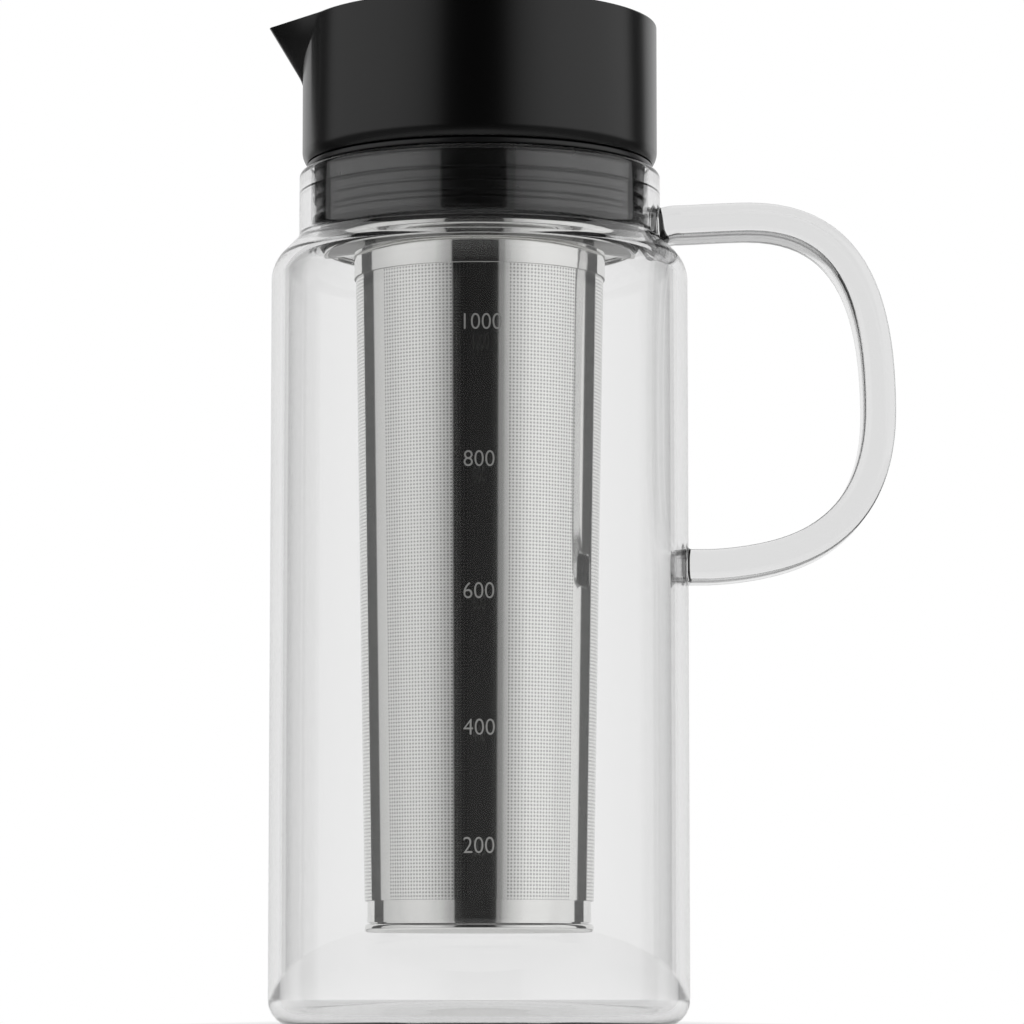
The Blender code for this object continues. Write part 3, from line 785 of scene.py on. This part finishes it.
# Lid plug
# Black polypropylene: a thin-walled plug that pushes into the collar, a drum inside the
# cover with one window to pour through, and a post in a well for the cover to turn on.
plug_low, plug_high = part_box("lid_plug")
plug_wall = 2 * MM
plug_radius = 33.1 * MM
plug_steps = 128
drum_radius = plug_high.x
drum_bottom = 196.3 * MM
post_radius = 3 * MM
well_radius = 7 * MM
well_depth = 5.4 * MM
window_width = 18 * MM
window_height = 11.5 * MM
window_depth = 5 * MM
window_round = 2 * MM
level_within = 0.01 * MM
seal_room = 0.3 * MM
groove_round = 0.1 * MM
plug_seal_height = 188 * MM
plug_seal_width = 1.6 * MM
plug_seal_radius = collar_bore - seal_room
cover_seal_height = 206 * MM
cover_seal_width = 1.2 * MM
cover_seal_radius = 37.8 * MM


def seal_groove(side, ring_radius, width, height):
    """Four corners of a square groove for a seal ring, from the top down."""
    floor = ring_radius - width - seal_room
    half = width / 2 + seal_room
    return [
        (side, height + half, groove_round),
        (floor, height + half, 0),
        (floor, height - half, 0),
        (side, height - half, groove_round),
    ]


well_floor = plug_high.z - well_depth
plug_corners = [
    (0, plug_high.z, 0),
    (post_radius, plug_high.z, 0.4 * MM),
    (post_radius, well_floor, 0.4 * MM),
    (well_radius, well_floor, 0.4 * MM),
    (well_radius, plug_high.z, 0.5 * MM),
    (drum_radius, plug_high.z, 0.6 * MM),
]
plug_corners += seal_groove(drum_radius, cover_seal_radius, cover_seal_width, cover_seal_height)
plug_corners += [(drum_radius, drum_bottom, 0.5 * MM), (plug_radius, drum_bottom, 0.3 * MM)]
plug_corners += seal_groove(plug_radius, plug_seal_radius, plug_seal_width, plug_seal_height)
plug_corners += [
    (plug_radius, plug_low.z, 0.6 * MM),
    (plug_radius - plug_wall, plug_low.z, 0.6 * MM),
    (plug_radius - plug_wall, drum_bottom + plug_wall, 0.6 * MM),
    (drum_radius - plug_wall, drum_bottom + plug_wall, 0.6 * MM),
    (drum_radius - plug_wall, plug_high.z - plug_wall, 0.6 * MM),
    (well_radius + plug_wall, plug_high.z - plug_wall, 0.5 * MM),
    (well_radius + plug_wall, well_floor - plug_wall, 0.8 * MM),
    (0, well_floor - plug_wall, 0),
]
lid_plug = shaped("lid_plug_moulding", turned(plug_corners, closed=False, steps=plug_steps))

# The window is cut through the drum's wall and its top edge, and has rounded lower corners.
window_shape = bmesh.new()
bmesh.ops.create_cube(window_shape, size=1)
bmesh.ops.scale(
    window_shape, vec=(2 * window_depth, window_width, 2 * window_height), verts=window_shape.verts
)
bmesh.ops.translate(window_shape, vec=(-drum_radius, 0, plug_high.z), verts=window_shape.verts)
window_floor = min(vert.co.z for vert in window_shape.verts)
lower_edges = [
    edge
    for edge in window_shape.edges
    if all(abs(vert.co.z - window_floor) < level_within for vert in edge.verts)
    and abs(edge.verts[0].co.y - edge.verts[1].co.y) < level_within
]
bmesh.ops.bevel(
    window_shape,
    geom=lower_edges,
    offset=window_round,
    segments=corner_steps,
    profile=0.5,
    affect="EDGES",
    material=-1,
)
combined(lid_plug, shaped("window_cutter", window_shape), "DIFFERENCE")
lid_plug.data.materials.clear()
lid_plug.data.materials.append(polypropylene)
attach(lid_plug, "lid_plug")
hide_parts("lid_plug")


# Lid seals
# Two round silicone rings: one seals the plug in the collar, the other lets the cover
# turn on the drum without a drip.
def seal_ring(name, node, radius, width, height):
    """A silicone ring that stands for its solid. Each corner's rounding stops just short of
    half its width, so the section is all but round and no two roundings meet."""
    half = width / 2
    inner = radius - width
    rounding = 0.99 * half
    ring = turned(
        [
            (inner, height + half, rounding),
            (radius, height + half, rounding),
            (radius, height - half, rounding),
            (inner, height - half, rounding),
        ]
    )
    made = shaped(name, ring)
    made.data.materials.append(silicone)
    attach(made, "lid_plug")
    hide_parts(node)


seal_ring("plug_seal_ring", "plug_seal", plug_seal_radius, plug_seal_width, plug_seal_height)
seal_ring("cover_seal_ring", "cover_seal", cover_seal_radius, cover_seal_width, cover_seal_height)


# Lid cover
# Satin black ABS, injection moulded: a deep round cap with a chamfered lower edge, a flat
# recessed top, a socket for the post, and an open V-shaped spout that grows out of it.
cover_low, cover_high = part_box("lid_cover")
lid_radius = cover_high.x
lid_wall = 2.5 * MM
lid_bore = lid_radius - lid_wall
top_recess = 1 * MM
top_plate = 2.2 * MM
top_rim_width = 2 * MM
top_rim_round = 0.5 * MM
edge_roll = 3.9 * MM
edge_roll_turn = math.radians(44)
socket_bore = 3.3 * MM
socket_radius = 5.5 * MM
socket_drop = 4.8 * MM
spout_tip_loss = 0.75 * MM
spout_reach = -cover_low.x - lid_radius + spout_tip_loss
spout_drop = 13.5 * MM
spout_half_angle = math.radians(63)
spout_angle_blend = math.radians(4)
spout_bite = 0.3 * MM
spout_crease = math.radians(18)
spout_wall = 2 * MM
spout_root_round = 8 * MM
spout_edge_round = 2 * MM
spout_top_step = 0.2 * MM
spout_overrun = 3 * MM
spout_depth = 6 * MM
spout_steps = 60
spout_columns = 8
trim_depth = 1.2 * MM
cutter_overrun = 2 * MM
plate_top = cover_high.z - top_recess
plate_under = plate_top - top_plate
edge_tangent = edge_roll * math.tan(edge_roll_turn / 2)
cover_corners = [
    (0, plate_top, 0),
    (lid_radius - top_rim_width, plate_top, 0.5 * MM),
    (lid_radius - top_rim_width, cover_high.z, top_rim_round),
    (lid_radius, cover_high.z, top_rim_round),
    (lid_radius, cover_low.z + edge_tangent * math.cos(edge_roll_turn), edge_roll),
    (lid_radius - edge_tangent * math.sin(edge_roll_turn), cover_low.z, 0),
    (lid_bore, cover_low.z, 0.3 * MM),
    (lid_bore, plate_under, 0.8 * MM),
    (socket_radius, plate_under, 0.5 * MM),
    (socket_radius, plate_under - socket_drop, 0.4 * MM),
    (socket_bore, plate_under - socket_drop, 0.4 * MM),
    (socket_bore, plate_under, 0.2 * MM),
    (0, plate_under, 0),
]
lid_cover = shaped("lid_cover_shell", turned(cover_corners, closed=False))


def spout_front(height, moved_in):
    """How far the spout's front edge lies from the axis at this height: a straight slope
    that runs into the wall in a long curve."""
    foot = cover_high.z - spout_drop
    slope = spout_reach / spout_drop
    blend = spout_root_round * math.tan(math.atan(slope) / 2)
    above = height - foot
    if above > blend:
        return lid_radius + above * slope - moved_in
    share = max(0, (above + blend) / (2 * blend))
    return lid_radius + blend * slope * share**2 - moved_in


def spout_half(height, moved_in, back):
    """Half the spout's width at its back. Its flat sides would pass beside the lid near the
    top, so there they bend back and leave the wall almost as tangents."""
    outer = spout_front(height, 0)
    tangent = math.asin((lid_radius - spout_bite) / outer)
    share = min(max(0.5 + (tangent - spout_half_angle) / (2 * spout_angle_blend), 0), 1)
    half_angle = tangent + (spout_half_angle - tangent) * share
    half_angle -= spout_angle_blend * share * (1 - share)
    return (outer - moved_in - back) * math.tan(half_angle)


def spout_wedge(name, moved_in, top, bottom, back, edge_round):
    """A three-cornered prism whose front corner follows the spout's front edge: its top
    face is extruded down in steps and drawn in towards its back."""
    shape = bmesh.new()
    front = spout_front(top, moved_in)
    half = spout_half(top, moved_in, back)
    corners = [
        shape.verts.new((-front, 0, top)),
        shape.verts.new((-back, half, top)),
        shape.verts.new((-back, -half, top)),
    ]
    shape.faces.new(corners)
    if edge_round:
        bmesh.ops.bevel(
            shape,
            geom=[corners[0]],
            offset=edge_round,
            offset_type="OFFSET",
            segments=5,
            profile=0.5,
            affect="VERTICES",
            material=-1,
        )
    sides = [edge for edge in shape.edges if edge.calc_length() > half]
    bmesh.ops.subdivide_edges(shape, edges=sides, cuts=spout_columns)
    bmesh.ops.delete(shape, geom=shape.faces[:], context="FACES_ONLY")
    ring = shape.edges[:]
    standing = (front - back, half)
    for step in range(1, spout_steps + 1):
        height = top + (bottom - top) * step / spout_steps
        grown = bmesh.ops.extrude_edge_only(shape, edges=ring)["geom"]
        ring = [item for item in grown if isinstance(item, bmesh.types.BMEdge)]
        moved = [item for item in grown if isinstance(item, bmesh.types.BMVert)]
        wanted = (spout_front(height, moved_in) - back, spout_half(height, moved_in, back))
        bmesh.ops.scale(
            shape,
            vec=(wanted[0] / standing[0], wanted[1] / standing[1], 1),
            space=Matrix.Translation((back, 0, 0)),
            verts=moved,
        )
        bmesh.ops.translate(shape, vec=(0, 0, (bottom - top) / spout_steps), verts=moved)
        standing = wanted
    bmesh.ops.holes_fill(shape, edges=shape.edges[:], sides=0)
    bmesh.ops.recalc_face_normals(shape, faces=shape.faces)
    return shaped(name, shape)


# The spout is trimmed back to the lid's wall, joined to it, and hollowed through the wall.
spout = spout_wedge(
    "spout_body",
    moved_in=0,
    top=cover_high.z - spout_top_step,
    bottom=cover_high.z - spout_drop - spout_overrun,
    back=lid_radius - spout_depth,
    edge_round=spout_edge_round,
)
trim_radius = lid_radius - trim_depth
cutter_top = cover_high.z + cutter_overrun
spout_trim = shaped(
    "spout_trim",
    turned(
        [
            (0, cutter_top, 0),
            (trim_radius, cutter_top, 0),
            (trim_radius, cover_low.z, 0),
            (0, cover_low.z, 0),
        ],
        closed=False,
    ),
)
combined(spout, spout_trim, "DIFFERENCE")
combined(lid_cover, spout, "UNION", sharp=spout_crease)
channel = spout_wedge(
    "spout_channel",
    moved_in=spout_wall,
    top=cutter_top,
    bottom=cover_high.z - spout_drop + spout_wall,
    back=lid_bore - lid_wall,
    edge_round=0,
)
combined(lid_cover, channel, "DIFFERENCE", sharp=spout_crease)

# Satin ABS from a spark-eroded mould: black, with an even fine grain that spreads the
# lights into soft vertical bands. The grain is drawn 0.25 mm wide, coarser than the real
# one, so that it shows.
erosion_width = 0.25 * MM
erosion_depth = 0.02 * MM
satin_abs, tree = new_finish("satin_moulded_abs")
coordinates = add_node(tree, "ShaderNodeTexCoord", {}, {})
erosion = add_node(
    tree,
    "ShaderNodeTexNoise",
    {"Scale": 1 / erosion_width, "Detail": 3.0},
    {"Vector": coordinates.outputs["Object"]},
)
erosion_bump = add_node(
    tree,
    "ShaderNodeBump",
    {"Strength": 0.12, "Distance": erosion_depth},
    {"Height": erosion.outputs["Fac"]},
)
abs_shader = add_node(
    tree,
    "ShaderNodeBsdfPrincipled",
    {"Base Color": linear("#070707"), "Roughness": 0.25, "IOR": 1.5},
    {"Normal": erosion_bump.outputs["Normal"]},
)
add_node(tree, "ShaderNodeOutputMaterial", {}, {"Surface": abs_shader.outputs["BSDF"]})
lid_cover.data.materials.clear()
lid_cover.data.materials.append(satin_abs)
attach(lid_cover, "lid_cover")
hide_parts("lid_cover")


# Studio
# A round white table, a white sweep behind it, a tall softbox on each side and one
# overhead. The room behind the camera and under the table is unlit, and it shows as the
# dark bands in the steel and in the lid.
table_radius = 300 * MM
table_drop = 0.05 * MM
lit_table_radius = 200 * MM
# Reach, squeeze and setback of the painted shadow pool behind the jar, and how much white stays in
# it.
shadow_from = 45 * MM
shadow_to = 85 * MM
shadow_squeeze = 0.5
shadow_back = 60 * MM
shadow_white = 0.6
room_level = 0.03
room_level_above = 0.01
room_dark_from = 0.2
overhead_level = 0.25
overhead_from = 0.8
overhead_full = 0.9
table_line = -0.12
table_line_clear = -0.06
sweep_from = math.radians(136)
sweep_soft_edge = math.radians(1)
sweep_level = 0.85
sweep_foot_level = 0.3
softbox_top_full = 0.6
softbox_top_end = 0.75
softbox_foot_level = 0.2
softbox_levels = {
    -180: 0.0,
    -134.5: 0.0,
    -115.5: 0.0,
    -114: 0.58,
    -100: 0.66,
    -80: 0.8,
    -60: 0.84,
    -40: 0.72,
    -30: 0.48,
    -25: 0.42,
    -24: 0.0,
    17: 0.0,
    17.8: 0.28,
    22.5: 0.31,
    23.5: 0.48,
    32: 0.7,
    48: 0.96,
    66: 0.98,
    100: 0.88,
    114: 0.85,
    115.5: 0.0,
    134.5: 0.0,
}
table_shape = bmesh.new()
bmesh.ops.create_circle(table_shape, cap_ends=True, radius=table_radius, segments=96)
bmesh.ops.translate(table_shape, vec=(0, 0, -table_drop), verts=table_shape.verts)
table_top = shaped("table_top", table_shape)

# Matt white table: it shows white to the camera, but for a soft shadow drawn out behind the
# jar, which is partly painted shade: there the white gives way to the lit matt table, which is
# greyer than white, and the table's real shadow shows in it. Close to the jar it also shows
# white in reflections, as a painted pool of light.
white_table, tree = new_finish("white_table")
table_shader = add_node(tree, "ShaderNodeBsdfDiffuse", {"Color": linear("#F4F4F4")}, {})
table_light = add_node(tree, "ShaderNodeEmission", {"Strength": 1.0}, {})
path = add_node(tree, "ShaderNodeLightPath", {}, {})
looked_at = add_node(
    tree, "ShaderNodeMath", {"operation": "LESS_THAN", 1: 0.5}, {0: path.outputs["Glossy Depth"]}
)
geometry = add_node(tree, "ShaderNodeNewGeometry", {}, {})
far = add_node(
    tree, "ShaderNodeVectorMath", {"operation": "LENGTH"}, {"Vector": geometry.outputs["Position"]}
)
# Painted shadow: an oval round the jar, drawn out behind it, in which the white fades to the lit
# matt table and its real shadow.
drawn_out = add_node(
    tree,
    "ShaderNodeVectorMath",
    {
        "operation": "MULTIPLY_ADD",
        1: (1, shadow_squeeze, 1),
        2: (0, -shadow_squeeze * shadow_back, 0),
    },
    {0: geometry.outputs["Position"]},
)
beside = add_node(
    tree, "ShaderNodeVectorMath", {"operation": "LENGTH"}, {"Vector": drawn_out.outputs["Vector"]}
)
painted_shadow_share = add_node(
    tree,
    "ShaderNodeMapRange",
    {
        "interpolation_type": "SMOOTHSTEP",
        "From Min": shadow_from,
        "From Max": shadow_to,
        "To Min": shadow_white,
    },
    {"Value": beside.outputs["Value"]},
)
# Painted pool of light: close to the jar the table glows white to every ray, as far as the painted
# shadow allows, in place of the light that the glass lets through.
painted_light_under_jar = add_node(
    tree,
    "ShaderNodeMapRange",
    {
        "interpolation_type": "SMOOTHSTEP",
        "From Min": lit_table_radius,
        "From Max": body_radius,
    },
    {"Value": far.outputs["Value"]},
)
seen_white = add_node(
    tree,
    "ShaderNodeMath",
    {"operation": "MAXIMUM"},
    {0: looked_at.outputs[0], 1: painted_light_under_jar.outputs["Result"]},
)
whitened = add_node(
    tree,
    "ShaderNodeMath",
    {"operation": "MULTIPLY"},
    {0: seen_white.outputs[0], 1: painted_shadow_share.outputs["Result"]},
)
table_mix = add_node(
    tree,
    "ShaderNodeMixShader",
    {},
    {0: whitened.outputs[0], 1: table_shader.outputs[0], 2: table_light.outputs[0]},
)
add_node(tree, "ShaderNodeOutputMaterial", {}, {"Surface": table_mix.outputs[0]})
table_top.data.materials.append(white_table)

# The lights and the sweep are drawn on the world by their angle round the table, which is 0
# at the camera, and by height, which is the sine of the angle above the table. Levels run
# from 0, unlit, to 1, white. The backdrop shows white to the camera and through the glass.
world = bpy.data.worlds.new("studio")
bpy.context.scene.world = world
world.use_nodes = True
tree = world.node_tree
tree.nodes.clear()
coordinates = add_node(tree, "ShaderNodeTexCoord", {}, {})
direction = add_node(
    tree, "ShaderNodeSeparateXYZ", {}, {"Vector": coordinates.outputs["Generated"]}
)
towards_camera = add_node(
    tree, "ShaderNodeMath", {"operation": "MULTIPLY", 1: -1.0}, {0: direction.outputs["Y"]}
)
azimuth = add_node(
    tree,
    "ShaderNodeMath",
    {"operation": "ARCTAN2"},
    {0: direction.outputs["X"], 1: towards_camera.outputs[0]},
)
full_turn = add_node(
    tree,
    "ShaderNodeMapRange",
    {"From Min": -math.pi, "From Max": math.pi},
    {"Value": azimuth.outputs[0]},
)
softboxes = add_node(tree, "ShaderNodeValToRGB", {}, {"Fac": full_turn.outputs["Result"]})
softboxes.color_ramp.elements[0].color = (0, 0, 0, 1)
softboxes.color_ramp.elements[1].color = (0, 0, 0, 1)
for angle, level in softbox_levels.items():
    softboxes.color_ramp.elements.new(angle / 360 + 0.5).color = (level, level, level, 1)
softbox_top = add_node(
    tree,
    "ShaderNodeMapRange",
    {
        "interpolation_type": "SMOOTHSTEP",
        "From Min": softbox_top_end,
        "From Max": softbox_top_full,
    },
    {"Value": direction.outputs["Z"]},
)
above_table = add_node(
    tree,
    "ShaderNodeMapRange",
    {
        "interpolation_type": "SMOOTHSTEP",
        "From Min": table_line,
        "From Max": table_line_clear,
    },
    {"Value": direction.outputs["Z"]},
)
softbox_foot = add_node(
    tree,
    "ShaderNodeMapRange",
    {"To Min": softbox_foot_level},
    {"Value": above_table.outputs["Result"]},
)
softbox_height = add_node(
    tree,
    "ShaderNodeMath",
    {"operation": "MULTIPLY"},
    {0: softbox_top.outputs["Result"], 1: softbox_foot.outputs["Result"]},
)
side_light = add_node(
    tree,
    "ShaderNodeMath",
    {"operation": "MULTIPLY"},
    {0: softboxes.outputs["Color"], 1: softbox_height.outputs[0]},
)
overhead = add_node(
    tree,
    "ShaderNodeMapRange",
    {
        "interpolation_type": "SMOOTHSTEP",
        "From Min": overhead_from,
        "From Max": overhead_full,
        "To Max": overhead_level,
    },
    {"Value": direction.outputs["Z"]},
)
side_angle = add_node(tree, "ShaderNodeMath", {"operation": "ABSOLUTE"}, {0: azimuth.outputs[0]})
sweep = add_node(
    tree,
    "ShaderNodeMapRange",
    {
        "interpolation_type": "SMOOTHSTEP",
        "From Min": sweep_from - sweep_soft_edge,
        "From Max": sweep_from + sweep_soft_edge,
        "To Max": sweep_level,
    },
    {"Value": side_angle.outputs[0]},
)
sweep_foot = add_node(
    tree,
    "ShaderNodeMapRange",
    {"To Min": sweep_foot_level},
    {"Value": above_table.outputs["Result"]},
)
path = add_node(tree, "ShaderNodeLightPath", {}, {})
unreflected = add_node(
    tree, "ShaderNodeMath", {"operation": "LESS_THAN", 1: 0.5}, {0: path.outputs["Glossy Depth"]}
)
looked_through = add_node(
    tree,
    "ShaderNodeMath",
    {"operation": "MULTIPLY"},
    {0: unreflected.outputs[0], 1: path.outputs["Is Transmission Ray"]},
)
lit_sweep = add_node(
    tree,
    "ShaderNodeMath",
    {"operation": "MULTIPLY"},
    {0: sweep.outputs["Result"], 1: sweep_foot.outputs["Result"]},
)
level = side_light
for source in (
    overhead.outputs[0],
    lit_sweep.outputs[0],
    looked_through.outputs[0],
    path.outputs["Is Camera Ray"],
):
    level = add_node(
        tree, "ShaderNodeMath", {"operation": "MAXIMUM"}, {0: level.outputs[0], 1: source}
    )
unlit_room = add_node(
    tree,
    "ShaderNodeMapRange",
    {"From Max": room_dark_from, "To Min": room_level, "To Max": room_level_above},
    {"Value": direction.outputs["Z"]},
)
room = add_node(
    tree,
    "ShaderNodeMath",
    {"operation": "MAXIMUM"},
    {0: level.outputs[0], 1: unlit_room.outputs["Result"]},
)
background = add_node(
    tree, "ShaderNodeBackground", {"Color": (1, 1, 1, 1)}, {"Strength": room.outputs[0]}
)
add_node(tree, "ShaderNodeOutputWorld", {}, {"Surface": background.outputs[0]})

# The camera stands just over a metre in front, at the height of the base, and looks up a
# little.
camera_place = (7.4 * MM, -1042.2 * MM, 10.93 * MM)
camera_lift = 0.10109
camera_data = bpy.data.cameras.new("camera")
camera_data.lens = 161.9
camera_data.sensor_width = 36
camera_data.clip_start = 0.01
camera_data.clip_end = 50
camera = bpy.data.objects.new("camera", camera_data)
bpy.context.scene.collection.objects.link(camera)
camera.location = camera_place
camera.rotation_euler = (math.pi / 2 + camera_lift, 0, 0)
bpy.context.scene.camera = camera
bpy.context.scene.view_settings.view_transform = "Standard"
